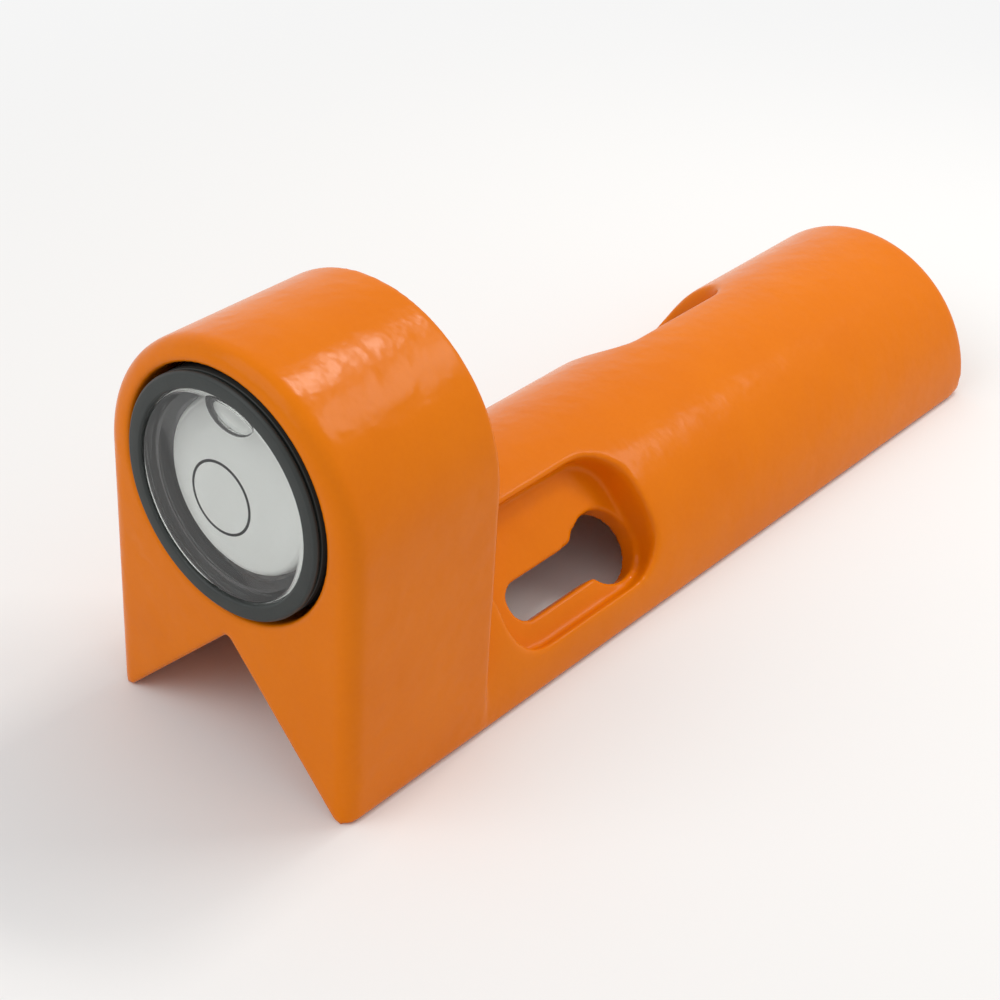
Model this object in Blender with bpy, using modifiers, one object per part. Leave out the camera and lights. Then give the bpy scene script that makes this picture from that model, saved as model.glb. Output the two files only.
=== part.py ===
"""Right angle bubble level: a cast bar with a V groove for a pole and a circular vial in its head.

The level lies on its feet. X runs across it, Y back along the bar and Z up, and the vial looks
out towards -Y. The origin is under the middle of the level, on the surface that it lies on.
All lengths are in metres.
"""
import math

import bmesh
import bpy

# Casting
HEAD_WIDTH = 0.040
HEAD_HEIGHT = 0.0557
HEAD_DEPTH = 0.0245
BODY_LENGTH = 0.1396
BAR_CREST = 0.0211
BAR_STEP = 0.0001
HEAD_FRONT_FILLET = 0.0024
HEAD_REAR_FILLET = 0.0005
BAR_END_FILLET = 0.0013

# Groove for the pole, and the feet beside it
GROOVE_ANGLE = math.radians(90)
GROOVE_ROOT = 0.0006
FOOT_RADIUS = 0.0014
FOOT_FLAT = 0.0002

# Strap pockets, one on each side, cut square to the groove's faces
POCKET_LENGTH = 0.0297
POCKET_WIDTH = 0.0182
POCKET_CORNER = 0.0060
POCKET_DROP = 0.0009
POCKET_WALL = 0.0030
RIGHT_POCKET_START = 0.0313
LEFT_POCKET_START = 0.0810

# Keyholes through the pockets' floors
SLOT_WIDTH = 0.0054
SLOT_MARGIN = 0.0051
KEYHOLE_RADIUS = 0.0051
KEYHOLE_MARGIN = 0.0003
KEYHOLE_DROP = 0.0038

# Bore for the vial, a little above the centre of the head's arch
BORE_RADIUS = 0.0159
BORE_DEPTH = 0.0145
BORE_CHAMFER = 0.0003
VIAL_RISE = 0.0014

# Vial unit, from the outside in
VIAL_CLEARANCE = 0.0007
SEAT_GAP = 0.0003
BEZEL_PROUD = 0.0007
BEZEL_OPENING = 0.0131
BEZEL_CHAMFER = 0.0003
BEZEL_FLANGE = 0.0007
BEZEL_THREAD = 0.0005
CUP_WALL = 0.0008
LENS_STEP = 0.0002
LENS_DOME = 0.0004
LENS_EDGE = 0.0003
LENS_FLANGE = 0.0009
LENS_HOLLOW = 0.0015
GASKET_THICKNESS = 0.0005
GASKET_WIDTH = 0.00075
CUP_CONE_DEPTH = 0.0022
DISC_RADIUS = 0.0108
DISC_THICKNESS = 0.0010
DISC_EDGE = 0.0008
TARGET_RADIUS = 0.0045
TARGET_LINE = 0.00035
TARGET_THICKNESS = 0.0002

# Liquid and bubble
BUBBLE_WIDTH = 0.0084
BUBBLE_HEIGHT = 0.0056
BUBBLE_THICKNESS = 0.0018
FLUID_THICKNESS = 0.0006

# Bed ring between the cup and the bore's floor
BED_GAP = 0.0020
BED_RING_RADIUS = 0.0129
BED_SECTION_RADIUS = 0.0010

# Adjusting screws and washers
SCREW_CIRCLE = 0.0093
SCREW_RADIUS = 0.0015
SCREW_HEAD_RADIUS = 0.00275
SCREW_HEAD_HEIGHT = 0.0020
SCREW_RECESS = 0.0005
SCREW_TIP_CHAMFER = 0.0003
SOCKET_RADIUS = 0.00145
SOCKET_DEPTH = 0.0013
WASHER_RADIUS = 0.0030
WASHER_THICKNESS = 0.0005
THREAD_DEPTH = 0.0047
TIP_GAP = 0.0005

# Fill plug in the back of the cup
PLUG_RADIUS = 0.0013
PLUG_HEAD_RADIUS = 0.0029
PLUG_HEAD_HEIGHT = 0.0009

# Cutters run past what they cut by this much
OVERRUN = 0.003

# Facets
ARCH_STEPS = 40
CORNER_STEPS = 6
FOOT_STEPS = 4
ROOT_STEPS = 4
FILLET_STEPS = 3
BORE_STEPS = 64
VIAL_STEPS = 48
SCREW_STEPS = 20
RING_SECTION_STEPS = 10
LENS_STEPS = 5
DISC_STEPS = 3
BUBBLE_STEPS = 20
SHARP_ANGLE = math.radians(35)
WELD = 1e-6

# Worked out from the sizes above
half_width = HEAD_WIDTH / 2
arch_centre = HEAD_HEIGHT - half_width
vial_height = arch_centre + VIAL_RISE
bar_radius = half_width - BAR_STEP
bar_centre = BAR_CREST - bar_radius
groove_half = GROOVE_ANGLE / 2
foot_centre = half_width - FOOT_RADIUS - FOOT_FLAT
groove_apex = (foot_centre * math.cos(groove_half) + FOOT_RADIUS * math.sin(groove_half) - FOOT_RADIUS)
groove_apex = groove_apex / math.sin(groove_half)
lens_apex_proud = BEZEL_PROUD - LENS_STEP + LENS_DOME
front_y = (lens_apex_proud - BODY_LENGTH) / 2
floor_distance = (groove_apex - bar_centre) * math.sin(groove_half) + POCKET_WALL

cup_radius = BORE_RADIUS - VIAL_CLEARANCE
cup_bore = cup_radius - CUP_WALL
chamber_radius = cup_bore - SEAT_GAP - GASKET_WIDTH
disc_seat_radius = DISC_RADIUS + SEAT_GAP
lens_radius = BEZEL_OPENING - SEAT_GAP
flange_radius = cup_bore - SEAT_GAP

# Depths behind the head's front face, front to back
bezel_front = -BEZEL_PROUD
bezel_shoulder = bezel_front + BEZEL_FLANGE
bezel_back = bezel_shoulder + BEZEL_THREAD
cup_front = bezel_shoulder + SEAT_GAP
lens_edge = bezel_front + LENS_STEP
lens_apex = lens_edge - LENS_DOME
lens_shoulder = bezel_back + SEAT_GAP
lens_back = lens_shoulder + LENS_FLANGE
gasket_front = lens_back + SEAT_GAP
gasket_back = gasket_front + GASKET_THICKNESS
cup_shoulder = gasket_back + SEAT_GAP
bubble_front = lens_back + SEAT_GAP
bubble_back = bubble_front + BUBBLE_THICKNESS
fluid_front = bubble_back + SEAT_GAP
fluid_back = fluid_front + FLUID_THICKNESS
disc_front = fluid_back + SEAT_GAP
disc_back = disc_front + DISC_THICKNESS
cup_floor = disc_back + SEAT_GAP
cup_back = BORE_DEPTH - BED_GAP
bubble_rest = chamber_radius - SEAT_GAP - BUBBLE_HEIGHT / 2


def empty_scene():
    """Remove what the scene holds and make the two collections."""
    for item in list(bpy.data.objects):
        bpy.data.objects.remove(item)
    collections = []
    for name in ("right_angle_bubble_level", "cutters"):
        collection = bpy.data.collections.new(name)
        bpy.context.scene.collection.children.link(collection)
        collections.append(collection)
    return collections


parts, cutters = empty_scene()


def arc(centre_x, centre_y, radius, start, end, steps):
    """Points on an arc, both ends included."""
    angles = [start + (end - start) * step / steps for step in range(steps + 1)]
    return [(centre_x + radius * math.cos(angle), centre_y + radius * math.sin(angle)) for angle in angles]


def sag(radius, rim, depth):
    """How far a spherical cap of this depth over this rim has fallen at a radius."""
    ball = (rim * rim + depth * depth) / (2 * depth)
    return ball - math.sqrt(ball * ball - radius * radius)


def new_object(name, mesh, collection, parent=None, location=(0, 0, 0), turn=0):
    """Link an object, hung from its parent, and turned about the vertical of that parent."""
    item = bpy.data.objects.new(name, mesh)
    collection.objects.link(item)
    item.parent = parent
    item.location = location
    item.rotation_euler.z = turn
    if collection == cutters:
        item.hide_render = True
        item.display_type = "WIRE"
    return item


def outline_mesh(name, outline, low, high):
    """A flat outline in XY, as a closed mesh from z = low to z = high."""
    curve = bpy.data.curves.new(name, "CURVE")
    curve.dimensions = "2D"
    curve.fill_mode = "BOTH"
    curve.extrude = (high - low) / 2
    spline = curve.splines.new("POLY")
    spline.points.add(len(outline) - 1)
    spline.use_cyclic_u = True
    for point, (x, y) in zip(spline.points, outline):
        point.co = (x, y, 0, 1)
    guide = new_object(name, curve, cutters, location=(0, 0, (low + high) / 2))
    bpy.context.view_layer.update()
    mesh = bpy.data.meshes.new_from_object(guide.evaluated_get(bpy.context.evaluated_depsgraph_get()))
    mesh.transform(guide.matrix_world)
    bpy.data.objects.remove(guide)
    bpy.data.curves.remove(curve)
    shape = bmesh.new()
    shape.from_mesh(mesh)
    bmesh.ops.remove_doubles(shape, verts=shape.verts, dist=WELD)
    flat = [edge for edge in shape.edges if edge.is_manifold and edge.calc_face_angle() < WELD]
    bmesh.ops.dissolve_edges(shape, edges=flat)
    shape.to_mesh(mesh)
    shape.free()
    return mesh


def round_rim(mesh, height, lowest_y, radius):
    """Fillet the rim of the flat end at z = height, but for the edges below lowest_y."""
    shape = bmesh.new()
    shape.from_mesh(mesh)
    rim = [edge for edge in shape.edges
           if all(abs(vert.co.z - height) < WELD for vert in edge.verts)
           and max(vert.co.y for vert in edge.verts) > lowest_y + WELD]
    bmesh.ops.bevel(shape, geom=rim, offset=radius, segments=FILLET_STEPS, profile=0.5, affect="EDGES")
    shape.to_mesh(mesh)
    shape.free()


def turned(name, profile, collection, steps, closed=False, **place):
    """A solid of revolution about local Z, from (radius, z) points that run down its outer side."""
    count = len(profile)
    edges = [(index, (index + 1) % count) for index in range(count if closed else count - 1)]
    mesh = bpy.data.meshes.new(name)
    mesh.from_pydata([(radius, 0, z) for radius, z in profile], edges, [])
    item = new_object(name, mesh, collection, **place)
    screw = item.modifiers.new("turn", "SCREW")
    screw.steps = steps
    screw.render_steps = steps
    screw.use_merge_vertices = True
    screw.merge_threshold = WELD
    screw.use_smooth_shade = True
    return item


def cut(item, cutter, operation="DIFFERENCE"):
    """Cut an object by a cutter, or join one to it."""
    boolean = item.modifiers.new(cutter.name, "BOOLEAN")
    boolean.operation = operation
    boolean.solver = "EXACT"
    boolean.object = cutter


def finish(item, colour, roughness, metallic, alpha=1.0):
    """Give a part its own material."""
    material = bpy.data.materials.new(item.name)
    material.use_nodes = True
    shader = material.node_tree.nodes["Principled BSDF"]
    shader.inputs["Base Color"].default_value = (*colour, 1)
    shader.inputs["Roughness"].default_value = roughness
    shader.inputs["Metallic"].default_value = metallic
    shader.inputs["Alpha"].default_value = alpha
    item.data.materials.append(material)
    item.data.shade_smooth()
    item.data.set_sharp_from_angle(angle=SHARP_ANGLE)


def new_empty(name, location, turn_x=0):
    """A guide that carries parts: its own Z is their axis."""
    guide = bpy.data.objects.new(name, None)
    parts.objects.link(guide)
    guide.location = location
    guide.rotation_euler.x = turn_x
    return guide


# Local Z of the casting's profile frame points at -Y, and its XY is the world's XZ
casting_frame = new_empty("casting_frame", (0, front_y, 0), math.radians(90))

# Local Z of the vial's frame points out of the head, from the bore's floor
vial_pivot = new_empty("vial_pivot", (0, front_y + BORE_DEPTH, vial_height), math.radians(90))


def level_of(depth):
    """A depth behind the head's front face, as a height above the bore's floor."""
    return BORE_DEPTH - depth


def vial_turned(name, profile, steps=VIAL_STEPS, closed=False, collection=parts, **place):
    """A piece turned about the vial's axis, from (radius, depth) points."""
    points = [(radius, level_of(depth)) for radius, depth in profile]
    return turned(name, points, collection, steps, closed, parent=vial_pivot, **place)


def arched_outline(radius, centre_height, bottom):
    """Two upright flanks under a half round, open at the bottom."""
    return [(radius, bottom)] + arc(0, centre_height, radius, 0, math.pi, ARCH_STEPS) + [(-radius, bottom)]


def underside_outline():
    """What is cleared below the casting: the V groove, and the space beside the two rounded feet."""
    outer = half_width + BAR_STEP - FOOT_RADIUS
    side = half_width + OVERRUN
    right = [(side, -OVERRUN * 2), (side, FOOT_RADIUS)]
    right += arc(outer, FOOT_RADIUS, FOOT_RADIUS, 0, -math.pi / 2, FOOT_STEPS)
    right += arc(foot_centre, FOOT_RADIUS, FOOT_RADIUS, -math.pi / 2, -math.pi + groove_half, FOOT_STEPS)
    left = [(-x, z) for x, z in reversed(right)]
    root_centre = groove_apex - GROOVE_ROOT / math.sin(groove_half)
    root = arc(0, root_centre, GROOVE_ROOT, groove_half, math.pi - groove_half, ROOT_STEPS)
    return right + root + left


def pocket_outline(side):
    """A rounded rectangle: local Y runs along the bar, local X up or down the groove's slope."""
    middle = side * POCKET_DROP
    near = POCKET_WIDTH / 2 - POCKET_CORNER
    far = POCKET_LENGTH - POCKET_CORNER
    quarter = math.pi / 2
    corners = [(near, far, 0), (-near, far, 1), (-near, POCKET_CORNER, 2), (near, POCKET_CORNER, 3)]
    points = []
    for x, y, turn in corners:
        points += arc(middle + x, y, POCKET_CORNER, turn * quarter, (turn + 1) * quarter, CORNER_STEPS)
    return points


def keyhole_outline(side):
    """A slot with a round end, opening into a round hole near the pocket's far end."""
    middle = side * KEYHOLE_DROP
    half_slot = SLOT_WIDTH / 2
    hole_y = POCKET_LENGTH - KEYHOLE_MARGIN - KEYHOLE_RADIUS
    mouth = math.asin(half_slot / KEYHOLE_RADIUS)
    start = -math.pi / 2 + mouth
    end = math.pi * 1.5 - mouth
    hole = arc(middle, hole_y, KEYHOLE_RADIUS, start, end, CORNER_STEPS * 4)
    slot = arc(middle, SLOT_MARGIN + half_slot, half_slot, math.pi, 2 * math.pi, CORNER_STEPS * 2)
    return hole + slot


def screw_angles():
    """One screw above the vial's axis and two below, seen from the front."""
    return [math.radians(90 + 120 * index) for index in range(3)]


def build_casting():
    """The head, the half-round bar behind it, and everything cut into them."""
    mesh = outline_mesh("body_casting", arched_outline(half_width, arch_centre, -OVERRUN), -HEAD_DEPTH, 0)
    round_rim(mesh, 0, -OVERRUN, HEAD_FRONT_FILLET)
    round_rim(mesh, -HEAD_DEPTH, -OVERRUN, HEAD_REAR_FILLET)
    casting = new_object("body_casting", mesh, parts, casting_frame)

    bar_start = -HEAD_DEPTH / 2
    mesh = outline_mesh("bar", arched_outline(bar_radius, bar_centre, -OVERRUN), -BODY_LENGTH, bar_start)
    round_rim(mesh, -BODY_LENGTH, -OVERRUN, BAR_END_FILLET)
    cut(casting, new_object("bar", mesh, cutters, casting_frame), "UNION")

    mesh = outline_mesh("underside", underside_outline(), -BODY_LENGTH - OVERRUN, OVERRUN)
    cut(casting, new_object("underside", mesh, cutters, casting_frame))

    for name, side, start in (("right", 1, RIGHT_POCKET_START), ("left", -1, LEFT_POCKET_START)):
        frame = new_empty(name + "_pocket_frame", (0, front_y + start, bar_centre))
        frame.rotation_euler.y = side * (math.pi / 2 - groove_half)
        mesh = outline_mesh(name + "_pocket", pocket_outline(side), floor_distance, bar_radius + OVERRUN)
        cut(casting, new_object(name + "_pocket", mesh, cutters, frame))
        inner = floor_distance - POCKET_WALL - OVERRUN / 2
        mesh = outline_mesh(name + "_keyhole", keyhole_outline(side), inner, floor_distance + OVERRUN / 2)
        cut(casting, new_object(name + "_keyhole", mesh, cutters, frame))

    groove_inner = BED_RING_RADIUS - BED_SECTION_RADIUS - SEAT_GAP
    groove_outer = BED_RING_RADIUS + BED_SECTION_RADIUS + SEAT_GAP
    ring_seat = cup_back + SEAT_GAP + 2 * BED_SECTION_RADIUS + SEAT_GAP
    bore = [(0, -OVERRUN), (BORE_RADIUS + BORE_CHAMFER, -OVERRUN), (BORE_RADIUS + BORE_CHAMFER, 0),
            (BORE_RADIUS, BORE_CHAMFER), (BORE_RADIUS, BORE_DEPTH), (groove_outer, BORE_DEPTH),
            (groove_outer, ring_seat), (groove_inner, ring_seat), (groove_inner, BORE_DEPTH),
            (0, BORE_DEPTH)]
    cut(casting, vial_turned("bore", bore, BORE_STEPS, collection=cutters))

    hole = SCREW_RADIUS + SEAT_GAP
    pocket = WASHER_RADIUS + SEAT_GAP
    seat = screw_seat()
    drill = [(0, BORE_DEPTH - OVERRUN), (hole, BORE_DEPTH - OVERRUN), (hole, seat), (pocket, seat),
             (pocket, HEAD_DEPTH + OVERRUN), (0, HEAD_DEPTH + OVERRUN)]
    for index, angle in enumerate(screw_angles()):
        place = (SCREW_CIRCLE * math.cos(angle), SCREW_CIRCLE * math.sin(angle), 0)
        name = f"screw_hole_{index + 1}"
        cut(casting, vial_turned(name, drill, SCREW_STEPS, collection=cutters, location=place))
    finish(casting, (0.74, 0.17, 0.008), 0.35, 0.0)


def screw_seat():
    """Depth of the counterbores' floors in the back of the head."""
    stack = SCREW_RECESS + SCREW_HEAD_HEIGHT + SEAT_GAP + WASHER_THICKNESS + SEAT_GAP
    return HEAD_DEPTH - stack


def build_cup():
    """The black cup: a threaded mouth, a shoulder for the lens, a cone and a seat for the disc."""
    hole = PLUG_RADIUS + SEAT_GAP
    head_seat = PLUG_HEAD_RADIUS + SEAT_GAP
    head_depth = cup_back - 2 * SEAT_GAP - PLUG_HEAD_HEIGHT
    profile = [(hole, cup_floor), (disc_seat_radius, cup_floor), (disc_seat_radius, disc_front),
               (chamber_radius, disc_front - CUP_CONE_DEPTH), (chamber_radius, cup_shoulder),
               (cup_bore, cup_shoulder), (cup_bore, cup_front), (cup_radius, cup_front),
               (cup_radius, cup_back), (head_seat, cup_back), (head_seat, head_depth), (hole, head_depth)]
    cup = vial_turned("vial_cup", profile, closed=True)
    radius = SCREW_RADIUS + SEAT_GAP
    drill = [(0, cup_back - THREAD_DEPTH), (radius, cup_back - THREAD_DEPTH),
             (radius, cup_back + OVERRUN), (0, cup_back + OVERRUN)]
    for index, angle in enumerate(screw_angles()):
        place = (SCREW_CIRCLE * math.cos(angle), SCREW_CIRCLE * math.sin(angle), 0)
        name = f"thread_hole_{index + 1}"
        cut(cup, vial_turned(name, drill, SCREW_STEPS, collection=cutters, location=place))
    finish(cup, (0.045, 0.05, 0.052), 0.45, 0.6)

    plug_top = cup_floor + SEAT_GAP
    plug = [(0, plug_top), (PLUG_RADIUS, plug_top), (PLUG_RADIUS, head_depth + SEAT_GAP),
            (PLUG_HEAD_RADIUS, head_depth + SEAT_GAP), (PLUG_HEAD_RADIUS, cup_back - SEAT_GAP),
            (0, cup_back - SEAT_GAP)]
    finish(vial_turned("fill_plug", plug, SCREW_STEPS), (0.55, 0.40, 0.14), 0.35, 1.0)


def build_bezel():
    """The ring that screws into the cup's mouth and holds the lens down."""
    profile = [(BEZEL_OPENING, bezel_front + BEZEL_CHAMFER), (BEZEL_OPENING + BEZEL_CHAMFER, bezel_front),
               (cup_radius - BEZEL_CHAMFER, bezel_front), (cup_radius, bezel_front + BEZEL_CHAMFER),
               (cup_radius, bezel_shoulder), (flange_radius, bezel_shoulder),
               (flange_radius, bezel_back), (BEZEL_OPENING, bezel_back)]
    finish(vial_turned("bezel_ring", profile, BORE_STEPS, closed=True), (0.045, 0.05, 0.052), 0.45, 0.6)


def lens_hollow(radius):
    """Depth of the lens's hollow back at a radius."""
    return lens_back - LENS_HOLLOW + sag(radius, chamber_radius, LENS_HOLLOW)


def build_lens():
    """The clear lens: a domed front with a chamfered edge, and a hollow back with a groove for the target."""
    dome_radius = lens_radius - LENS_EDGE
    profile = []
    for step in range(LENS_STEPS):
        radius = dome_radius * step / (LENS_STEPS - 1)
        profile.append((radius, lens_apex + sag(radius, dome_radius, LENS_DOME)))
    profile += [(lens_radius, lens_edge + LENS_EDGE), (lens_radius, lens_shoulder),
                (flange_radius, lens_shoulder), (flange_radius, lens_back)]
    inner = TARGET_RADIUS - TARGET_LINE / 2 - SEAT_GAP
    outer = TARGET_RADIUS + TARGET_LINE / 2 + SEAT_GAP
    for step in range(LENS_STEPS):
        radius = chamber_radius + (outer - chamber_radius) * step / (LENS_STEPS - 1)
        profile.append((radius, lens_hollow(radius)))
    floor = lens_hollow(TARGET_RADIUS) - TARGET_THICKNESS - SEAT_GAP
    profile += [(outer, floor), (inner, floor), (inner, lens_hollow(inner)), (0, lens_hollow(0))]
    finish(vial_turned("lens", profile), (0.9, 0.93, 0.92), 0.05, 0.0, 0.25)

    back = lens_hollow(TARGET_RADIUS)
    ring = [(TARGET_RADIUS - TARGET_LINE / 2, back - TARGET_THICKNESS),
            (TARGET_RADIUS + TARGET_LINE / 2, back - TARGET_THICKNESS),
            (TARGET_RADIUS + TARGET_LINE / 2, back), (TARGET_RADIUS - TARGET_LINE / 2, back)]
    finish(vial_turned("target_ring", ring, closed=True), (0.01, 0.01, 0.012), 0.4, 0.0)


def build_gasket():
    """The flat rubber ring that seals the lens to the cup."""
    ring = [(chamber_radius, gasket_front), (flange_radius, gasket_front),
            (flange_radius, gasket_back), (chamber_radius, gasket_back)]
    finish(vial_turned("lens_gasket", ring, closed=True), (0.02, 0.02, 0.02), 0.8, 0.0)


def build_disc():
    """The white disc that the bubble is read against, rounded off at its edge."""
    edge = arc(DISC_RADIUS - DISC_EDGE, disc_front + DISC_EDGE, DISC_EDGE, -math.pi / 2, 0, DISC_STEPS)
    disc = [(0, disc_front)] + edge + [(DISC_RADIUS, disc_back), (0, disc_back)]
    finish(vial_turned("reflector_disc", disc), (0.75, 0.77, 0.74), 0.5, 0.0)


def build_fluid():
    """The liquid behind the bubble's layer, and the bubble at the top of the chamber."""
    disc = [(0, fluid_front), (DISC_RADIUS, fluid_front), (DISC_RADIUS, fluid_back), (0, fluid_back)]
    finish(vial_turned("vial_fluid", disc), (0.85, 0.9, 0.88), 0.05, 0.0, 0.3)

    mesh = bpy.data.meshes.new("bubble")
    shape = bmesh.new()
    bmesh.ops.create_uvsphere(shape, u_segments=BUBBLE_STEPS, v_segments=BUBBLE_STEPS // 2, radius=0.5)
    bmesh.ops.scale(shape, vec=(BUBBLE_WIDTH, BUBBLE_HEIGHT, BUBBLE_THICKNESS), verts=shape.verts)
    shape.to_mesh(mesh)
    shape.free()
    middle = level_of((bubble_front + bubble_back) / 2)
    bubble = new_object("bubble", mesh, parts, vial_pivot, (0, bubble_rest, middle))
    finish(bubble, (0.95, 0.97, 0.96), 0.03, 0.0, 0.3)


def build_bed_ring():
    """The rubber ring that the cup is pulled down on."""
    middle = cup_back + SEAT_GAP + BED_SECTION_RADIUS
    section = arc(BED_RING_RADIUS, middle, BED_SECTION_RADIUS, -math.pi / 2, math.pi * 1.5,
                  RING_SECTION_STEPS)
    finish(vial_turned("bed_ring", section[:-1], closed=True), (0.02, 0.02, 0.02), 0.8, 0.0)


def build_screws():
    """Three adjusting screws with their washers, in counterbores in the back of the head."""
    seat = screw_seat()
    washer_front = seat + SEAT_GAP
    head_front = washer_front + WASHER_THICKNESS + SEAT_GAP
    head_back = head_front + SCREW_HEAD_HEIGHT
    tip = cup_back - THREAD_DEPTH + TIP_GAP
    washer = [(SCREW_RADIUS + SEAT_GAP, washer_front), (WASHER_RADIUS, washer_front),
              (WASHER_RADIUS, washer_front + WASHER_THICKNESS),
              (SCREW_RADIUS + SEAT_GAP, washer_front + WASHER_THICKNESS)]
    screw = [(0, tip), (SCREW_RADIUS - SCREW_TIP_CHAMFER, tip), (SCREW_RADIUS, tip + SCREW_TIP_CHAMFER),
             (SCREW_RADIUS, head_front), (SCREW_HEAD_RADIUS, head_front),
             (SCREW_HEAD_RADIUS, head_back - SCREW_TIP_CHAMFER),
             (SCREW_HEAD_RADIUS - SCREW_TIP_CHAMFER, head_back), (0, head_back)]
    socket = [(0, head_back - SOCKET_DEPTH), (SOCKET_RADIUS, head_back - SOCKET_DEPTH),
              (SOCKET_RADIUS, head_back + OVERRUN), (0, head_back + OVERRUN)]
    for index, angle in enumerate(screw_angles()):
        place = (SCREW_CIRCLE * math.cos(angle), SCREW_CIRCLE * math.sin(angle), 0)
        number = index + 1
        item = vial_turned(f"adjusting_screw_{number}", screw, SCREW_STEPS, location=place)
        cut(item, vial_turned(f"socket_{number}", socket, 6, collection=cutters, location=place))
        finish(item, (0.55, 0.55, 0.56), 0.3, 1.0)
        item = vial_turned(f"screw_washer_{number}", washer, SCREW_STEPS, closed=True, location=place)
        finish(item, (0.6, 0.6, 0.6), 0.35, 1.0)


build_casting()
build_cup()
build_bezel()
build_lens()
build_gasket()
build_disc()
build_fluid()
build_bed_ring()
build_screws()
print("groove apex", round(groove_apex, 5), "pocket floor", round(floor_distance, 5))
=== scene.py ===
import math

import bpy
import numpy as np
from mathutils import Matrix, Vector


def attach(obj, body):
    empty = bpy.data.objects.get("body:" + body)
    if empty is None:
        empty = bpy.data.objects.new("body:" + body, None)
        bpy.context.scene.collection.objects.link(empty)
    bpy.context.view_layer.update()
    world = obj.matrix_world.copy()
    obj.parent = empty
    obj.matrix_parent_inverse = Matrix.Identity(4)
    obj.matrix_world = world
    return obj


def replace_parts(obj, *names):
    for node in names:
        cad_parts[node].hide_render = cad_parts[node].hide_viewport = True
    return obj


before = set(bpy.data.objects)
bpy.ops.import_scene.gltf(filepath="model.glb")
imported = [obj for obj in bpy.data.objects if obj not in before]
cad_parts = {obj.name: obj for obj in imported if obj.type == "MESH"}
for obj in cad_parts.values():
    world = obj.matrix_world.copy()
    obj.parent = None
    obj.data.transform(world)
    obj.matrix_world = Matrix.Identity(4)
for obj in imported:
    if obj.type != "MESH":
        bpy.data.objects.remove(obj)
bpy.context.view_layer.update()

mm = 0.001
axisX, axisY, axisZ = Vector((1, 0, 0)), Vector((0, 1, 0)), Vector((0, 0, 1))


# Small helpers for working in object and edit mode

def deselectAll():
    if bpy.context.object and bpy.context.object.mode != 'OBJECT':
        bpy.ops.object.mode_set(mode='OBJECT')
    bpy.ops.object.select_all(action='DESELECT')


def pickOnly(item):
    deselectAll()
    item.select_set(True)
    bpy.context.view_layer.objects.active = item


def named(name):
    item = bpy.context.object
    item.name = name
    item.data.name = name
    return item


def editMode():
    bpy.ops.object.mode_set(mode='EDIT')


def objectMode():
    bpy.ops.object.mode_set(mode='OBJECT')


def selectFaces(item, rule):
    # rule gets a face's centre and normal; called in edit mode
    objectMode()
    mesh = item.data
    for part in (mesh.vertices, mesh.edges, mesh.polygons):
        part.foreach_set('select', [False] * len(part))
    for face in mesh.polygons:
        face.select = bool(rule(face.center, face.normal))
    editMode()
    bpy.ops.mesh.select_mode(type='FACE')


def selectEdges(item, rule):
    # rule gets the places of an edge's two ends; called in edit mode
    objectMode()
    mesh = item.data
    for part in (mesh.vertices, mesh.edges, mesh.polygons):
        part.foreach_set('select', [False] * len(part))
    for edge in mesh.edges:
        a, b = (mesh.vertices[index].co for index in edge.vertices)
        edge.select = bool(rule(a, b))
    editMode()
    bpy.ops.mesh.select_mode(type='EDGE')


def applyPlace(item):
    pickOnly(item)
    bpy.ops.object.transform_apply(location=True, rotation=True, scale=True)
    return item


def applyModifier(item, kind, **settings):
    pickOnly(item)
    modifier = item.modifiers.new(kind.lower(), kind)
    for key, value in settings.items():
        setattr(modifier, key, value)
    bpy.ops.object.modifier_apply(modifier=modifier.name)
    return item


def cutWith(item, cutter, operation='DIFFERENCE'):
    applyModifier(item, 'BOOLEAN', object=cutter, operation=operation, solver='EXACT')
    bpy.data.objects.remove(cutter)
    return item


def arcPoints(centreA, centreB, radius, start, end, steps):
    angles = [math.radians(start + (end - start) * step / steps) for step in range(steps + 1)]
    return [(centreA + radius * math.cos(angle), centreB + radius * math.sin(angle)) for angle in angles]


def drawLine(name, points, closed=False):
    # one vertex is left of a small plane, and is extruded from point to point
    deselectAll()
    bpy.ops.mesh.primitive_plane_add(size=mm, location=(0, 0, 0))
    item = named(name)
    editMode()
    bpy.ops.mesh.select_mode(type='VERT')
    bpy.ops.mesh.select_all(action='SELECT')
    bpy.ops.mesh.merge(type='CENTER')
    bpy.ops.mesh.select_all(action='SELECT')
    bpy.ops.transform.translate(value=points[0])
    for last, point in zip(points, points[1:]):
        step = Vector(point) - Vector(last)
        bpy.ops.mesh.extrude_region_move(TRANSFORM_OT_translate={'value': step})
    if closed:
        bpy.ops.mesh.select_all(action='SELECT')
        bpy.ops.mesh.edge_face_add()
    return item


def drawPrism(name, points, pull):
    # a closed outline, filled and pulled out
    item = drawLine(name, points, closed=True)
    bpy.ops.mesh.select_all(action='SELECT')
    bpy.ops.mesh.extrude_region_move(TRANSFORM_OT_translate={'value': pull})
    bpy.ops.mesh.select_all(action='SELECT')
    bpy.ops.mesh.normals_make_consistent(inside=False)
    objectMode()
    return item


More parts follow.
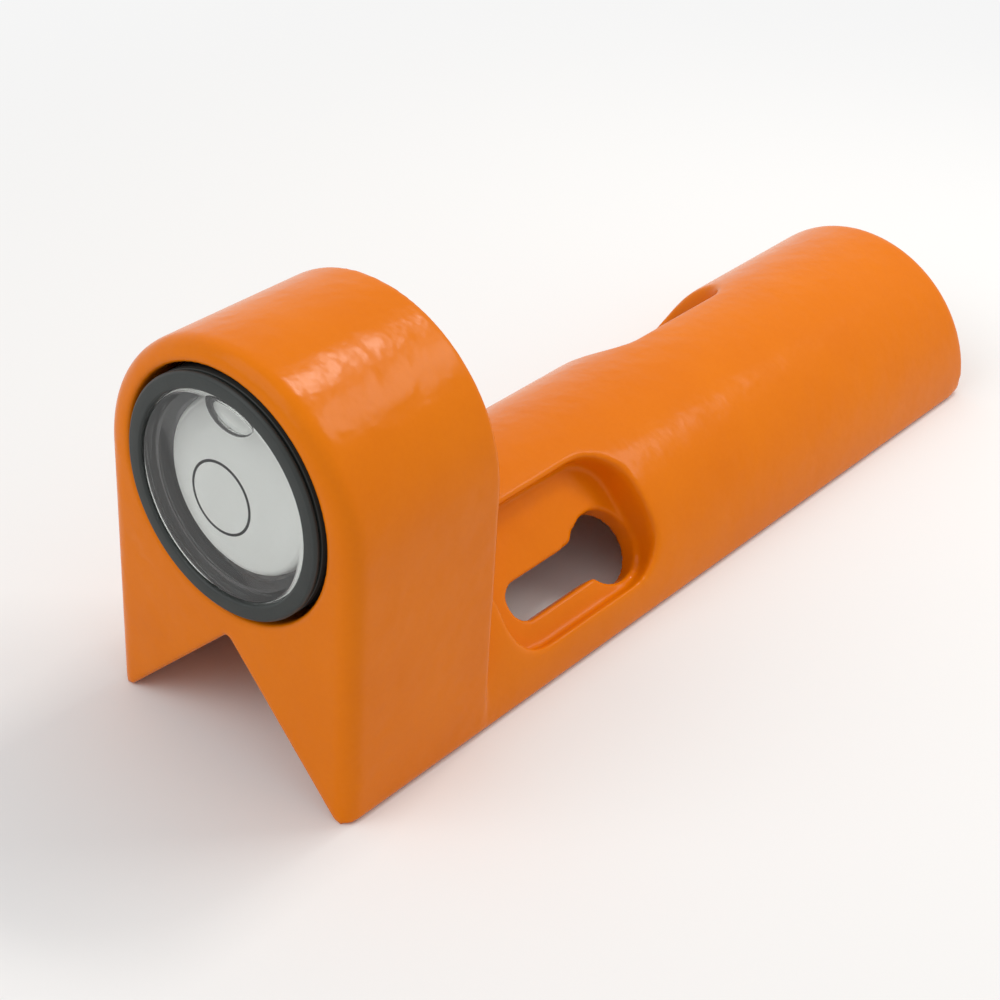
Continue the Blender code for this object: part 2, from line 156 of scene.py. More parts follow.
def spinProfile(name, points, centre, steps=96, closed=False, bevel=0.0):
    # (radius, y) points, spun about an axis along Y through centre
    line = [(centre[0] + radius, y, centre[1]) for radius, y in points]
    if closed:
        line.append(line[0])
    item = drawLine(name, line)
    bpy.ops.mesh.select_all(action='SELECT')
    bpy.ops.mesh.spin(steps=steps, angle=math.tau, center=(centre[0], 0, centre[1]), axis=axisY)
    bpy.ops.mesh.select_all(action='SELECT')
    bpy.ops.mesh.remove_doubles(threshold=0.002 * mm)
    bpy.ops.mesh.normals_make_consistent(inside=False)
    objectMode()
    if bevel:
        applyModifier(item, 'BEVEL', width=bevel, segments=3, limit_method='ANGLE',
                      angle_limit=math.radians(30), use_clamp_overlap=True)
    pickOnly(item)
    bpy.ops.object.shade_smooth_by_angle(angle=math.radians(35))
    return item


# Shader helpers

class Socket:
    def __init__(self, tree, value):
        self.tree, self.value = tree, value

    def maths(self, operation, *others):
        node = self.tree.nodes.new('ShaderNodeMath')
        node.operation = operation
        for slot, value in zip(node.inputs, (self, *others)):
            if isinstance(value, Socket):
                self.tree.links.new(value.value, slot)
            else:
                slot.default_value = value
        return Socket(self.tree, node.outputs[0])

    def constant(self, value):
        node = self.tree.nodes.new('ShaderNodeValue')
        node.outputs[0].default_value = value
        return Socket(self.tree, node.outputs[0])

    def __add__(self, other):
        return self.maths('ADD', other)

    def __sub__(self, other):
        return self.maths('SUBTRACT', other)

    def __mul__(self, other):
        return self.maths('MULTIPLY', other)

    __radd__ = __add__
    __rmul__ = __mul__

    def __rsub__(self, other):
        return self.constant(other).maths('SUBTRACT', self)


class Nodes:
    # adds nodes to one tree and feeds their sockets
    def __init__(self, tree):
        self.tree = tree

    def feed(self, node, sockets):
        for key, value in sockets.items():
            slot = node.inputs[key if isinstance(key, int) or key in node.inputs else key.replace('_', ' ')]
            if isinstance(value, Socket):
                self.tree.links.new(value.value, slot)
            else:
                slot.default_value = value

    def add(self, kind, settings=None, **sockets):
        node = self.tree.nodes.new(kind)
        for key, value in (settings or {}).items():
            setattr(node, key, value)
        self.feed(node, sockets)
        return node


class Finish(Nodes):
    # one material's nodes, with the shader that everything feeds
    def __init__(self, name, **sockets):
        self.material = bpy.data.materials.new(name)
        self.material.use_nodes = True
        super().__init__(self.material.node_tree)
        self.shader = self.tree.nodes['Principled BSDF']
        self.output = self.tree.nodes['Material Output']
        self.place = Socket(self.tree, self.add('ShaderNodeTexCoord').outputs['Object'])
        self.feed(self.shader, sockets)

    def noise(self, scale, detail=2.0, roughness=0.5):
        node = self.add('ShaderNodeTexNoise', Vector=self.place, Scale=scale, Detail=detail,
                        Roughness=roughness)
        return Socket(self.tree, node.outputs['Fac'])

    def mixColour(self, factor, first, second):
        node = self.add('ShaderNodeMix', {'data_type': 'RGBA'})
        for slot, value in ((0, factor), (6, first), (7, second)):
            if isinstance(value, Socket):
                self.tree.links.new(value.value, node.inputs[slot])
            else:
                node.inputs[slot].default_value = value if slot == 0 else (*value, 1)
        return Socket(self.tree, node.outputs[2])

    def bump(self, height, distance, strength=1.0, after=None):
        sockets = {'Height': height, 'Distance': distance, 'Strength': strength}
        if after:
            sockets['Normal'] = after
        return Socket(self.tree, self.add('ShaderNodeBump', **sockets).outputs[0])

    def letLampsThrough(self, tint=(1, 1, 1)):
        # lamps reach what is behind the clear piece
        path = self.add('ShaderNodeLightPath')
        clear = self.add('ShaderNodeBsdfTransparent', Color=(*tint, 1))
        mix = self.add('ShaderNodeMixShader')
        self.tree.links.new(path.outputs['Is Shadow Ray'], mix.inputs[0])
        self.tree.links.new(self.shader.outputs[0], mix.inputs[1])
        self.tree.links.new(clear.outputs[0], mix.inputs[2])
        self.tree.links.new(mix.outputs[0], self.output.inputs['Surface'])

    def onto(self, item):
        item.data.materials.clear()
        item.data.materials.append(self.material)
        return self


# The camera stands where the photograph was taken from
view = {'azimuth': 39.9772, 'elevation': 32.7216, 'distance': 0.250624, 'roll': 2.941,
        'target': (0.007544, -0.038118, 0.033268), 'lens': 75.36,
        'shift': (0.04138, -0.05484)}

around, above, roll = (math.radians(view[key]) for key in ('azimuth', 'elevation', 'roll'))
back = Vector((math.sin(around) * math.cos(above), -math.cos(around) * math.cos(above), math.sin(above)))
level = axisZ.cross(back).normalized()
upright = back.cross(level)
right = level * math.cos(roll) + upright * math.sin(roll)
up = upright * math.cos(roll) - level * math.sin(roll)
eye = Vector(view['target']) + back * view['distance']
bpy.ops.object.camera_add(location=eye)
camera = bpy.context.object
camera.matrix_world = Matrix.Translation(eye) @ Matrix((right, up, back)).transposed().to_4x4()
camera.data.lens = view['lens']
camera.data.sensor_width = 36
camera.data.shift_x, camera.data.shift_y = view['shift']
camera.data.clip_start = 0.01
camera.data.dof.use_dof = False
bpy.context.scene.camera = camera
print('camera placed')


# The casting: an arched head with a half-round bar behind it, lying on two feet
casting = {'width': 40 * mm, 'archHeight': 35.7 * mm, 'headDepth': 24.5 * mm, 'frontY': -69.35 * mm,
           'rearY': 70.25 * mm, 'frontRim': 2.4 * mm, 'rearRim': 0.5 * mm, 'barRadius': 19.9 * mm,
           'barHeight': 1.2 * mm, 'barRim': 1.3 * mm, 'apex': 17.82 * mm, 'apexRound': 0.6 * mm,
           'footRound': 1.4 * mm, 'footFlat': 0.2 * mm, 'overrun': 3 * mm,
           'voxel': 0.32 * mm, 'faces': 190000}
pocket = {'length': 29.7 * mm, 'width': 18.2 * mm, 'corner': 6 * mm, 'drop': 0.9 * mm,
          'floor': 14.752 * mm, 'wall': 3 * mm, 'rightY': -38.05 * mm, 'leftY': 11.65 * mm,
          'slot': 5.4 * mm, 'slotStart': 5.1 * mm, 'hole': 5.1 * mm, 'holeMargin': 0.3 * mm,
          'keyDrop': 3.8 * mm, 'keyOverrun': 1.5 * mm}
smoothing = {'allRounds': 3, 'rimReach': 2.0 * mm, 'rimRounds': 26, 'floorRounds': 5,
             'wallReach': 0.5 * mm, 'floorReach': 0.4 * mm, 'keyMargin': 0.6 * mm, 'headMargin': 0.2 * mm,
             'barCornerX': 19 * mm, 'barCornerIn': 0.5 * mm, 'cornerReach': 2.6 * mm, 'cornerRounds': 30}
bore = {'radius': 15.9 * mm, 'depth': 14.5 * mm, 'height': 37.1 * mm, 'grooveIn': 11.6 * mm,
        'grooveOut': 14.2 * mm, 'grooveFloor': 15.1 * mm, 'screwRadius': 1.8 * mm,
        'counterbore': 3.3 * mm, 'counterFloor': 20.9 * mm}
screwSpots = [(0.0, 46.4 * mm), (-8.054 * mm, 32.45 * mm), (8.054 * mm, 32.45 * mm)]

frontY = casting['frontY']


def addCylinder(name, radius, length, middle, steps):
    deselectAll()
    bpy.ops.mesh.primitive_cylinder_add(vertices=steps, radius=radius, depth=length, location=middle,
                                        rotation=(math.radians(90), 0, 0))
    return applyPlace(named(name))


def bevelRim(item, y, width, segments):
    pickOnly(item)
    editMode()
    selectEdges(item, lambda a, b: abs(a.y - y) < 0.01 * mm and abs(b.y - y) < 0.01 * mm
                and max(a.z, b.z) > -1 * mm)
    bpy.ops.mesh.bevel(offset=width, segments=segments, profile=0.5, affect='EDGES')
    objectMode()


def makeHead():
    size = casting['headDepth']
    head = addCylinder('casting', casting['width'] / 2, size,
                       (0, frontY + size / 2, casting['archHeight']), 144)
    editMode()
    bpy.ops.mesh.select_all(action='SELECT')
    bpy.ops.mesh.bisect(plane_co=(0, 0, casting['archHeight']), plane_no=(0, 0, -1),
                        clear_outer=True, use_fill=True)
    selectFaces(head, lambda centre, normal: normal.z < -0.9)
    bpy.ops.mesh.extrude_region_move(TRANSFORM_OT_translate={
        'value': (0, 0, -casting['archHeight'] - casting['overrun'])})
    bpy.ops.mesh.select_all(action='SELECT')
    bpy.ops.mesh.dissolve_limited(angle_limit=math.radians(0.1))
    objectMode()
    bevelRim(head, frontY, casting['frontRim'], 6)
    bevelRim(head, frontY + size, casting['rearRim'], 3)
    return head


def makeBar():
    start = frontY + casting['headDepth'] / 2
    length = casting['rearY'] - start
    bar = addCylinder('bar', casting['barRadius'], length,
                      (0, start + length / 2, casting['barHeight']), 144)
    bevelRim(bar, casting['rearY'], casting['barRim'], 5)
    return bar


def makeUnderside():
    # what is cleared below: the groove for the pole, and the space beside the rounded feet
    foot, side = casting['footRound'], casting['width'] / 2 + casting['overrun']
    outer = casting['width'] / 2 + 0.1 * mm - foot
    inner = casting['width'] / 2 - foot - casting['footFlat']
    rightHalf = [(side, -22 * mm), (side, foot)]
    rightHalf += arcPoints(outer, foot, foot, 0, -90, 6)
    rightHalf += arcPoints(inner, foot, foot, -90, -135, 4)
    bend = casting['apexRound']
    top = arcPoints(0, casting['apex'] - bend * math.sqrt(2), bend, 45, 135, 6)
    outline = rightHalf + top + [(-x, z) for x, z in reversed(rightHalf)]
    start = frontY - casting['overrun']
    length = casting['rearY'] - frontY + 2 * casting['overrun']
    return drawPrism('underside', [(x, start, z) for x, z in outline], (0, length, 0))


def pocketPoint(side, across, along, out):
    # a pocket's own frame: across the groove's slope, along the bar, and out of the groove's face
    half = math.sqrt(0.5)
    startY = pocket['rightY'] if side > 0 else pocket['leftY']
    return (side * out * half + across * half, startY + along,
            casting['barHeight'] + out * half - side * across * half)


def makePocket(side):
    middle, corner = side * pocket['drop'], pocket['corner']
    near, far = pocket['width'] / 2 - corner, pocket['length'] - corner
    outline = []
    for x, y, turn in ((near, far, 0), (-near, far, 90), (-near, corner, 180), (near, corner, 270)):
        outline += arcPoints(middle + x, y, corner, turn, turn + 90, 10)
    low, high = pocket['floor'], casting['barRadius'] + casting['overrun']
    points = [pocketPoint(side, x, y, low) for x, y in outline]
    pull = Vector(pocketPoint(side, 0, 0, high)) - Vector(pocketPoint(side, 0, 0, low))
    return drawPrism('pocket', points, pull)


def makeKeyhole(side):
    middle, radius, half = side * pocket['keyDrop'], pocket['hole'], pocket['slot'] / 2
    holeY = pocket['length'] - pocket['holeMargin'] - radius
    mouth = math.degrees(math.asin(half / radius))
    outline = arcPoints(middle, holeY, radius, -90 + mouth, 270 - mouth, 40)
    outline += arcPoints(middle, pocket['slotStart'] + half, half, 180, 360, 16)
    low = pocket['floor'] - pocket['wall'] - pocket['keyOverrun']
    high = pocket['floor'] + pocket['keyOverrun']
    points = [pocketPoint(side, x, y, low) for x, y in outline]
    pull = Vector(pocketPoint(side, 0, 0, high)) - Vector(pocketPoint(side, 0, 0, low))
    return drawPrism('keyhole', points, pull)


def makeBore():
    deep, ring = frontY + bore['depth'], frontY + bore['grooveFloor']
    points = [(0, frontY - 3 * mm), (bore['radius'] + 0.3 * mm, frontY - 3 * mm),
              (bore['radius'] + 0.3 * mm, frontY), (bore['radius'], frontY + 0.3 * mm),
              (bore['radius'], deep), (bore['grooveOut'], deep), (bore['grooveOut'], ring),
              (bore['grooveIn'], ring), (bore['grooveIn'], deep), (0, deep)]
    return spinProfile('bore', points, (0, bore['height']), 128)


def makeScrewHole(spot):
    seat = frontY + bore['counterFloor']
    rear = frontY + casting['headDepth'] + casting['overrun']
    start = frontY + bore['depth'] - casting['overrun']
    points = [(0, start), (bore['screwRadius'], start), (bore['screwRadius'], seat),
              (bore['counterbore'], seat), (bore['counterbore'], rear), (0, rear)]
    return spinProfile('screwHole', points, spot, 48)


body = makeHead()
cutWith(body, makeBar(), 'UNION')
cutWith(body, makeUnderside())
for side in (1, -1):
    cutWith(body, makePocket(side))
    cutWith(body, makeKeyhole(side))
cutWith(body, makeBore())
for spot in screwSpots:
    cutWith(body, makeScrewHole(spot))
print('casting cut', len(body.data.polygons), 'faces')


# Cast and coated edges: an even net over the casting, smoothed most along the pockets' rims

def pointsOf(item):
    places = np.zeros(len(item.data.vertices) * 3)
    item.data.vertices.foreach_get('co', places)
    return places.reshape(-1, 3)


def pocketPlaces(places, side):
    half = math.sqrt(0.5)
    x, z = places[:, 0], places[:, 2] - casting['barHeight']
    startY = pocket['rightY'] if side > 0 else pocket['leftY']
    across, along = (x - side * z) * half, places[:, 1] - startY
    return across, along, (side * x + z) * half


def fromPocketWall(across, along, side):
    # distance outside the rounded rectangle, negative inside it
    inX = abs(across - side * pocket['drop']) - pocket['width'] / 2 + pocket['corner']
    inY = abs(along - pocket['length'] / 2) - pocket['length'] / 2 + pocket['corner']
    outside = np.hypot(np.maximum(inX, 0), np.maximum(inY, 0))
    return outside + np.minimum(np.maximum(inX, inY), 0) - pocket['corner']


def fromKeyhole(across, along, side):
    middle, radius = side * pocket['keyDrop'], pocket['hole']
    holeY = pocket['length'] - pocket['holeMargin'] - radius
    hole = np.hypot(across - middle, along - holeY) - radius
    slotY = np.clip(along, pocket['slotStart'] + pocket['slot'] / 2, holeY)
    return np.minimum(hole, np.hypot(across - middle, along - slotY) - pocket['slot'] / 2)


def smoothWhere(item, chosen, rounds, factor=0.5):
    pickOnly(item)
    mesh = item.data
    for part in (mesh.edges, mesh.polygons):
        part.foreach_set('select', [False] * len(part))
    mesh.vertices.foreach_set('select', chosen)
    editMode()
    bpy.ops.mesh.select_mode(type='VERT')
    bpy.ops.mesh.vertices_smooth(factor=factor, repeat=rounds)
    objectMode()


applyModifier(body, 'REMESH', mode='VOXEL', voxel_size=casting['voxel'], use_smooth_shade=True)
places = pointsOf(body)
smoothWhere(body, np.ones(len(places), bool), smoothing['allRounds'])
for side in (1, -1):
    across, along, out = pocketPlaces(places, side)
    wall = fromPocketWall(across, along, side)
    skin = np.hypot(places[:, 0], places[:, 2] - casting['barHeight']) - casting['barRadius']
    nearRim = np.hypot(wall, skin) < smoothing['rimReach']
    inPocket = (wall < smoothing['wallReach']) & (out > pocket['floor'] - smoothing['floorReach'])
    besideKeyhole = fromKeyhole(across, along, side) > smoothing['keyMargin']
    behindHead = places[:, 1] > frontY + casting['headDepth'] + smoothing['headMargin']
    smoothWhere(body, nearRim & behindHead & (side * places[:, 0] > 0), smoothing['rimRounds'])
    smoothWhere(body, inPocket & besideKeyhole & behindHead, smoothing['floorRounds'])
    # the bar's end corners, and the corners where the keyhole's slot opens into its hole
    barCorner = (side * smoothing['barCornerX'], casting['rearY'] - smoothing['barCornerIn'],
                 smoothing['barCornerIn'])
    slotHalf = pocket['slot'] / 2
    mouthY = pocket['length'] - pocket['holeMargin'] - pocket['hole'] * (
        1 + math.cos(math.asin(slotHalf / pocket['hole'])))
    mouthCorner = pocketPoint(side, side * (pocket['keyDrop'] - slotHalf), mouthY,
                              pocket['floor'] - pocket['wall'] / 2)
    for corner in (barCorner, mouthCorner):
        nearCorner = np.linalg.norm(places - corner, axis=1) < smoothing['cornerReach']
        smoothWhere(body, nearCorner, smoothing['cornerRounds'])
applyModifier(body, 'DECIMATE', ratio=min(1.0, casting['faces'] / (2 * len(body.data.polygons))))
pickOnly(body)
bpy.ops.object.shade_smooth()
print('casting smoothed', len(body.data.polygons), 'faces')

# A glossy orange coat with the slow ripple and fine peel of baked powder
coatLook = {'deep': (0.655, 0.147, 0.001), 'bright': (0.765, 0.196, 0.0015), 'patches': 70, 'grain': 1500,
            'roughness': 0.15, 'roughnessSpread': 0.12, 'ripple': 240, 'rippleHeight': 0.30 * mm,
            'peel': 620, 'peelHeight': 0.07 * mm, 'shine': 0.11}
coat = Finish('orange_coat', Metallic=0.0, Specular_IOR_Level=coatLook['shine'])
grain = coat.noise(coatLook['grain'], 3, 0.6)
ripple = coat.bump(coat.noise(coatLook['ripple'], 1), coatLook['rippleHeight'], 0.5)
coat.feed(coat.shader, {
    'Base Color': coat.mixColour(coat.noise(coatLook['patches'], 3) * 0.7 + grain * 0.3,
                                 coatLook['deep'], coatLook['bright']),
    'Roughness': coatLook['roughness'] + grain * coatLook['roughnessSpread'],
    'Normal': coat.bump(coat.noise(coatLook['peel'], 1.5), coatLook['peelHeight'], 0.8, ripple)})
coat.onto(body)
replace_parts(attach(body, 'body'), 'body_casting')


# The vial, from the front: black ring and cup, clear front, liquid with its bubble, white disc
vial = {'cup': 15.2 * mm, 'cupBore': 14.4 * mm, 'chamber': 13.35 * mm, 'opening': 13.1 * mm,
        'flange': 14.1 * mm, 'disc': 10.8 * mm, 'discFlat': 9 * mm, 'discEdge': 0.9, 'discSeat': 11.1 * mm,
        'target': 4.5 * mm, 'targetLine': 0.33 * mm, 'targetProud': 0.09, 'targetThick': 0.12,
        'fillHole': 1.6 * mm, 'plugHole': 3.2 * mm, 'plugSeat': 11.0, 'back': 12.5,
        'thread': 1.8 * mm, 'threadFront': 7.8, 'threadBack': 15, 'steps': 128, 'front': -0.7,
        'discFront': 5.0, 'lensRim': 12.5 * mm, 'lensRound': 0.45, 'lensRise': 0.4, 'hollow': 1.5}
axis = (0, bore['height'])


def depth(value):
    return frontY + value * mm


def vialPiece(name, points, closed=True, bevel=0.0):
    return spinProfile(name, [(radius, depth(value)) for radius, value in points], axis,
                       vial['steps'], closed, bevel)


def dome(radius, rim, height):
    ball = (rim * rim + height * height) / (2 * height)
    return ball - math.sqrt(ball * ball - radius * radius)


edge = vial['front']
ring = vialPiece('bezelRing', [
    (vial['opening'], edge + 0.25), (vial['opening'] + 0.25 * mm, edge), (vial['cup'] - 0.3 * mm, edge),
    (vial['cup'], edge + 0.3), (vial['cup'], edge + 0.7), (vial['flange'], edge + 0.7),
    (vial['flange'], edge + 1.2), (vial['opening'], edge + 1.2)], bevel=0.12 * mm)
discFront = vial['discFront']
cup = vialPiece('cup', [
    (vial['fillHole'], discFront + 1.3), (vial['discSeat'], discFront + 1.3), (vial['discSeat'], discFront),
    (vial['chamber'], edge + 3.5), (vial['cupBore'], edge + 3.5), (vial['cupBore'], edge + 1.0),
    (vial['cup'], edge + 1.0), (vial['cup'], vial['back']), (vial['plugHole'], vial['back']),
    (vial['plugHole'], vial['plugSeat']), (vial['fillHole'], vial['plugSeat'])], bevel=0.12 * mm)
for spot in screwSpots:
    front, rear = depth(vial['threadFront']), depth(vial['threadBack'])
    cutWith(cup, spinProfile('thread', [(0, front), (vial['thread'], front), (vial['thread'], rear),
                                        (0, rear)], spot, 40))

# black anodising: finely grained on the ring's face, and smooth down in the cup, where its colour is
# darkened as painted shade for the recess
anodised = Finish('black_anodised', Metallic=0.0, Specular_IOR_Level=0.28)
fine = anodised.noise(2500, 2)
placeParts = anodised.add('ShaderNodeSeparateXYZ', Vector=anodised.place)
# inside marks the part deeper in the cup; the darker colour given there is painted shade, not a different
# finish
inside = Socket(anodised.tree, placeParts.outputs['Y']).maths('GREATER_THAN', depth(1))
face = anodised.mixColour(anodised.noise(300, 3), (0.026, 0.030, 0.029), (0.037, 0.042, 0.040))
anodised.feed(anodised.shader, {
    'Base Color': anodised.mixColour(inside, face, (0.014, 0.016, 0.017)),
    'Roughness': 0.38 + fine * (1 - inside) * 0.14 + inside * 0.35,
    'Normal': anodised.bump(fine * (1 - inside), 0.02 * mm, 0.25)})
for item, node in ((ring, 'bezel_ring'), (cup, 'vial_cup')):
    anodised.onto(item)
    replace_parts(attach(item, 'vial'), node)

# The clear front: a low dome with a rounded edge, a flange below it and a hollow back
faceSteps, hollowSteps = 14, 12


def lensFront(radius):
    return edge + 0.2 - vial['lensRise'] + dome(radius, vial['lensRim'], vial['lensRise'] * mm) / mm


def lensBack(radius):
    return edge + 2.4 - vial['hollow'] + dome(radius, vial['chamber'], vial['hollow'] * mm) / mm


lensPoints = []
for step in range(faceSteps):
    radius = vial['lensRim'] * step / (faceSteps - 1)
    lensPoints.append((radius, lensFront(radius)))
bend = vial['lensRound']
for radius, value in arcPoints(vial['lensRim'] / mm, edge + 0.2 + bend, bend, -75, 0, 5):
    lensPoints.append((radius * mm, value))
lensPoints += [(vial['opening'] + 0.06 * mm, edge + 0.9), (vial['opening'] + 0.06 * mm, edge + 1.5),
               (vial['flange'], edge + 1.5), (vial['flange'], edge + 2.4)]
for step in range(hollowSteps + 1):
    radius = vial['chamber'] * (1 - step / hollowSteps)
    lensPoints.append((radius, lensBack(radius)))
lens = vialPiece('lens', lensPoints, closed=False)

clear = Finish('lens_clear', Roughness=0.015, IOR=1.43, Transmission_Weight=1.0)
clear.feed(clear.shader, {'Base Color': (0.990, 0.996, 0.993, 1)})
clear.letLampsThrough((0.990, 0.996, 0.993))
clear.onto(lens)
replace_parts(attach(lens, 'vial'), 'lens')

# The liquid fills the chamber, and laps a hair's breadth into what holds it
lap = 0.05
fluidPoints = []
for step in range(hollowSteps + 1):
    radius = vial['chamber'] * step / hollowSteps
    fluidPoints.append((radius, lensBack(radius) - lap))
fluidPoints += [(vial['chamber'] + lap * mm, edge + 2.4), (vial['chamber'] + lap * mm, edge + 3.5),
                (vial['discSeat'] + lap * mm, discFront + lap), (0, discFront + lap)]
fluid = vialPiece('fluid', fluidPoints, closed=False)
liquid = Finish('liquid', Roughness=0.0, IOR=1.40, Transmission_Weight=1.0)
liquid.feed(liquid.shader, {'Base Color': (0.990, 0.996, 0.986, 1)})
liquid.letLampsThrough((0.990, 0.996, 0.986))
liquid.onto(fluid)
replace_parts(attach(fluid, 'fluid'), 'vial_fluid')

# The bubble is pressed flat under the clear front and rounds off towards the liquid
bubbleForm = {'width': 7.7 * mm, 'height': 5.6 * mm, 'thick': 2.6 * mm, 'rise': 10.5 * mm, 'depth': 3.0}
deselectAll()
bpy.ops.mesh.primitive_uv_sphere_add(segments=96, ring_count=48, radius=0.5, location=(0, 0, 0))
bubble = named('bubbleOfAir')
editMode()
bpy.ops.mesh.select_all(action='SELECT')
bpy.ops.transform.resize(value=(bubbleForm['width'], bubbleForm['thick'], bubbleForm['height']))
selectFaces(bubble, lambda centre, normal: centre.y < 0)
bpy.ops.transform.resize(value=(1, 0.55, 1), center_override=(0, 0, 0))
bpy.ops.mesh.select_all(action='SELECT')
bpy.ops.transform.translate(value=(0, depth(bubbleForm['depth']), bore['height'] + bubbleForm['rise']))
bpy.ops.mesh.normals_make_consistent(inside=False)
objectMode()
bpy.ops.object.shade_smooth()
air = Finish('bubble_clear', Roughness=0.0, IOR=1 / 1.40, Transmission_Weight=1.0)
air.feed(air.shader, {'Base Color': (0.98, 0.99, 0.985, 1)})
air.letLampsThrough()
air.onto(bubble)
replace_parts(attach(bubble, 'bubble'), 'bubble')

# The circle printed on the back of the clear front
half = vial['targetLine'] / 2
printPoints = []
for radius in (vial['target'] - half, vial['target'] + half):
    printPoints.append((radius, lensBack(radius) - vial['targetProud']))
printPoints += [(radius, value + vial['targetThick']) for radius, value in reversed(printPoints)]
target = vialPiece('targetRing', printPoints)
ink = Finish('black_ink', Specular_IOR_Level=0.3)
spread = ink.noise(6000, 2)
ink.feed(ink.shader, {'Base Color': ink.mixColour(spread, (0.010, 0.011, 0.012), (0.020, 0.021, 0.022)),
                      'Roughness': 0.4 + spread * 0.2})
ink.onto(target)
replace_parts(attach(target, 'vial'), 'target_ring')

# The white disc, rounded off at its edge
bend = vial['discEdge']
discPoints = [(0, discFront), (vial['discFlat'], discFront)]
for radius, value in arcPoints(vial['disc'] / mm - bend, discFront + bend, bend, -90, 0, 8):
    discPoints.append((radius * mm, value))
discPoints += [(vial['disc'], discFront + 1), (0, discFront + 1)]
disc = vialPiece('reflectorDisc', discPoints, closed=False)
white = Finish('white_disc', Roughness=0.55)
white.feed(white.shader, {
    'Base Color': white.mixColour(white.noise(900, 3), (0.86, 0.875, 0.845), (0.91, 0.92, 0.895)),
    'Normal': white.bump(white.noise(4000, 2), 0.01 * mm, 0.3)})
white.onto(disc)
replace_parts(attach(disc, 'vial'), 'reflector_disc')
print('vial made')


# Adjusting screws with hex sockets, and their washers, in the back of the head
screw = {'radius': 1.5 * mm, 'head': 2.75 * mm, 'tip': 8.3, 'headFront': 22.0, 'headBack': 24.0,
         'edge': 0.3 * mm, 'hex': 2.5 * mm, 'hexDepth': 1.3 * mm, 'washer': 3.0 * mm, 'washerFront': 21.2,
         'washerThick': 0.5, 'washerHole': 1.8 * mm}


def makeScrew(name, spot):
    radius, head, rim = screw['radius'], screw['head'], screw['edge']
    points = [(0, screw['tip']), (radius - rim, screw['tip']), (radius, screw['tip'] + rim / mm),
              (radius, screw['headFront']), (head - rim / 2, screw['headFront']),
              (head, screw['headFront'] + rim / 2 / mm), (head, screw['headBack'] - rim / mm),
              (head - rim, screw['headBack']), (0, screw['headBack'])]
    item = spinProfile(name, [(radius, depth(value)) for radius, value in points], spot, 72, bevel=0.05 * mm)
    deselectAll()
    across = screw['hex'] / math.cos(math.radians(30))
    bpy.ops.mesh.primitive_cylinder_add(vertices=6, radius=across / 2, depth=2 * screw['hexDepth'],
                                        location=(spot[0], depth(screw['headBack']), spot[1]),
                                        rotation=(math.radians(90), 0, 0))
    socket = applyPlace(named('hexSocket'))
    editMode()
    selectFaces(socket, lambda centre, normal: normal.y < -0.9)
    bpy.ops.mesh.inset(thickness=0.25 * mm)
    bpy.ops.mesh.extrude_region_move(TRANSFORM_OT_translate={'value': (0, -0.35 * mm, 0)})
    bpy.ops.transform.resize(value=(0.3, 1, 0.3), center_override=(spot[0], 0, spot[1]))
    objectMode()
    cutWith(item, socket)
    pickOnly(item)
    bpy.ops.object.shade_smooth_by_angle(angle=math.radians(35))
    return item


steel = Finish('screw_steel', Metallic=1.0)
streak = steel.noise(1800, 3)
steel.feed(steel.shader, {'Base Color': steel.mixColour(streak, (0.50, 0.50, 0.51), (0.60, 0.60, 0.60)),
                          'Roughness': 0.24 + streak * 0.16,
                          'Normal': steel.bump(streak, 0.01 * mm, 0.3)})
for number, (spot, carrier) in enumerate(zip(screwSpots, ('top_screw', 'left_screw', 'right_screw')), 1):
    item = makeScrew(f'adjustingScrew{number}', spot)
    steel.onto(item)
    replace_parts(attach(item, carrier), f'adjusting_screw_{number}')
    front, rear = screw['washerFront'], screw['washerFront'] + screw['washerThick']
    washer = spinProfile(f'washer{number}', [
        (screw['washerHole'], depth(front)), (screw['washer'], depth(front)), (screw['washer'], depth(rear)),
        (screw['washerHole'], depth(rear))], spot, 64, closed=True, bevel=0.08 * mm)
    steel.onto(washer)
    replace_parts(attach(washer, 'body'), f'screw_washer_{number}')
print('screws made')


# Pieces that keep their CAD solids get their own finishes
rubber = Finish('black_rubber', Specular_IOR_Level=0.3)
pores = rubber.noise(3000, 3)
rubber.feed(rubber.shader, {
    'Base Color': rubber.mixColour(pores, (0.012, 0.012, 0.013), (0.026, 0.026, 0.027)),
    'Roughness': 0.65 + pores * 0.2, 'Normal': rubber.bump(pores, 0.02 * mm, 0.4)})
brass = Finish('plug_brass', Metallic=1.0)
turned = brass.noise(2200, 3)
brass.feed(brass.shader, {'Base Color': brass.mixColour(turned, (0.50, 0.36, 0.12), (0.62, 0.46, 0.18)),
                          'Roughness': 0.28 + turned * 0.18, 'Normal': brass.bump(turned, 0.01 * mm, 0.3)})
for node, look in (('lens_gasket', rubber), ('bed_ring', rubber), ('fill_plug', brass)):
    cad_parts[node].material_slots[0].material = look.material
print('finishes given')


# Floor, lamps and world
studio = {'floor': (0.82, 0.82, 0.82), 'floorSize': 8.0, 'nearGlow': 0.0, 'farGlow': 1.0,
          'glowFrom': 0.08, 'glowTo': 0.24, 'skyColour': (0.92, 0.92, 0.92), 'sky': 0.70}
deselectAll()
bpy.ops.mesh.primitive_plane_add(size=studio['floorSize'], location=(0, 0, 0))
floor = named('floor')
paper = Finish('pale_paper', Roughness=0.9, Specular_IOR_Level=0.0)
paper.feed(paper.shader, {'Base Color': (*studio['floor'], 1)})


def seenDirectly(nodes):
    # 1 for rays from the camera, and for those that gloss or glass sends on
    path = nodes.add('ShaderNodeLightPath')
    rays = [Socket(nodes.tree, path.outputs[name])
            for name in ('Is Camera Ray', 'Is Glossy Ray', 'Is Transmission Ray')]
    return (rays[0] + rays[1] + rays[2]).maths('MINIMUM', 1.0)


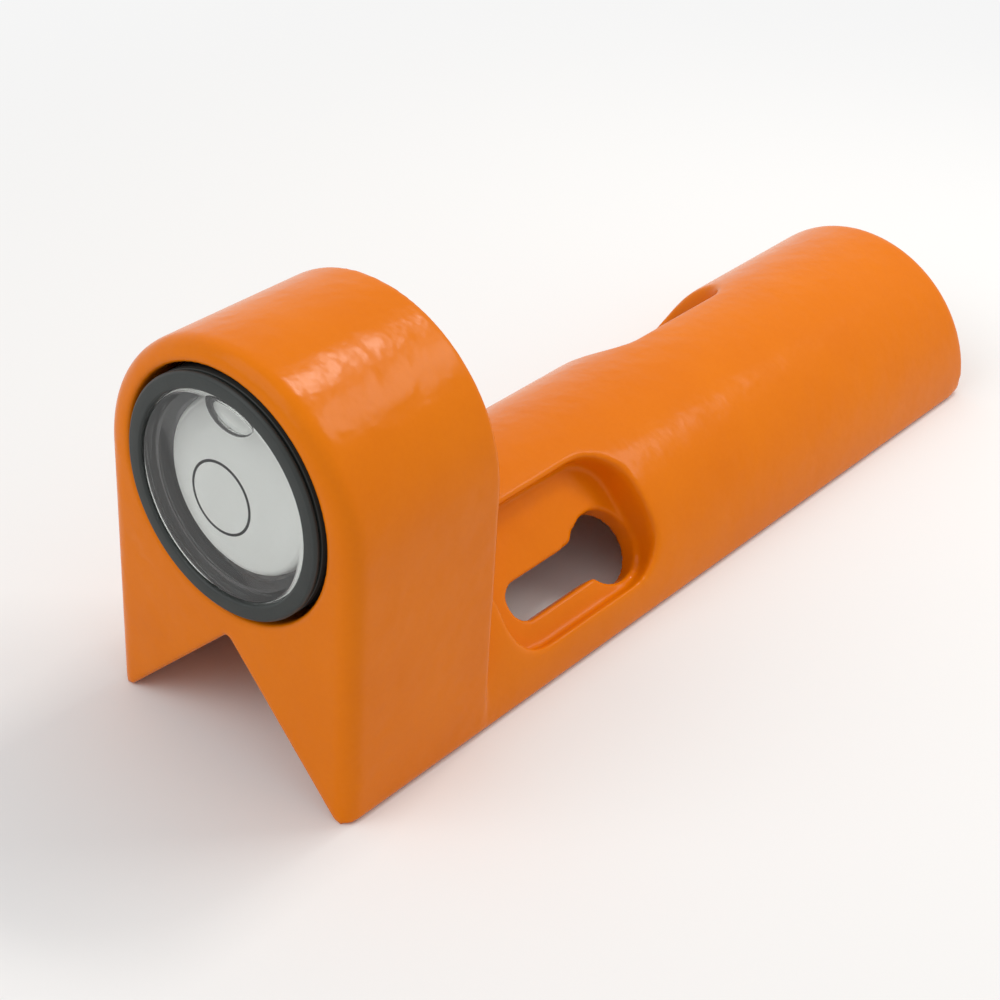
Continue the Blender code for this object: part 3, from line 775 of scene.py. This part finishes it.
# the paper shows its own shade and shadow near the level, and goes evenly white away from it
away = Socket(paper.tree, paper.add('ShaderNodeVectorMath', {'operation': 'LENGTH'},
                                    Vector=paper.place).outputs['Value'])
reach = paper.add('ShaderNodeMapRange', {'interpolation_type': 'SMOOTHSTEP'}, Value=away,
                  From_Min=studio['glowFrom'], From_Max=studio['glowTo'],
                  To_Min=studio['nearGlow'], To_Max=studio['farGlow'])
glow = paper.add('ShaderNodeEmission', Color=(0.92, 0.92, 0.92, 1), Strength=1.0)
blend = paper.add('ShaderNodeMixShader',
                  **{'Fac': seenDirectly(paper) * Socket(paper.tree, reach.outputs['Result'])})
paper.tree.links.new(paper.shader.outputs[0], blend.inputs[1])
paper.tree.links.new(glow.outputs[0], blend.inputs[2])
paper.tree.links.new(blend.outputs[0], paper.output.inputs['Surface'])
paper.onto(floor)


def addLamp(name, azimuth, elevation, distance, width, height, power, colour):
    a, e = math.radians(azimuth), math.radians(elevation)
    way = Vector((math.sin(a) * math.cos(e), -math.cos(a) * math.cos(e), math.sin(e)))
    bpy.ops.object.light_add(type='AREA', location=way * distance)
    lamp = bpy.context.object
    lamp.name = name
    lamp.data.shape = 'RECTANGLE'
    lamp.data.size = width
    lamp.data.size_y = height
    lamp.data.energy = power
    lamp.data.color = colour
    lamp.rotation_euler = way.to_track_quat('Z', 'Y').to_euler()
    return lamp


warm, plain = (1.0, 0.96, 0.90), (1.0, 1.0, 1.0)
addLamp('keyLamp', azimuth=175, elevation=64.2, distance=0.466, width=0.10, height=0.05,
        power=0.50, colour=warm)
addLamp('softLamp', azimuth=146, elevation=48.8, distance=0.50, width=0.20, height=0.13,
        power=0.55, colour=warm)
addLamp('frontLamp', azimuth=-20, elevation=42, distance=1.00, width=0.80, height=0.80,
        power=3.2, colour=plain)
world = bpy.data.worlds.new('studio')
bpy.context.scene.world = world
world.use_nodes = True
# the sky is as white as the far paper where it is seen, and lights the level less than that
worldNodes = Nodes(world.node_tree)
worldNodes.feed(world.node_tree.nodes['Background'], {
    'Color': (*studio['skyColour'], 1),
    'Strength': studio['sky'] + seenDirectly(worldNodes) * (1 - studio['sky'])})
bpy.context.scene.view_settings.view_transform = 'Standard'
print('studio set')
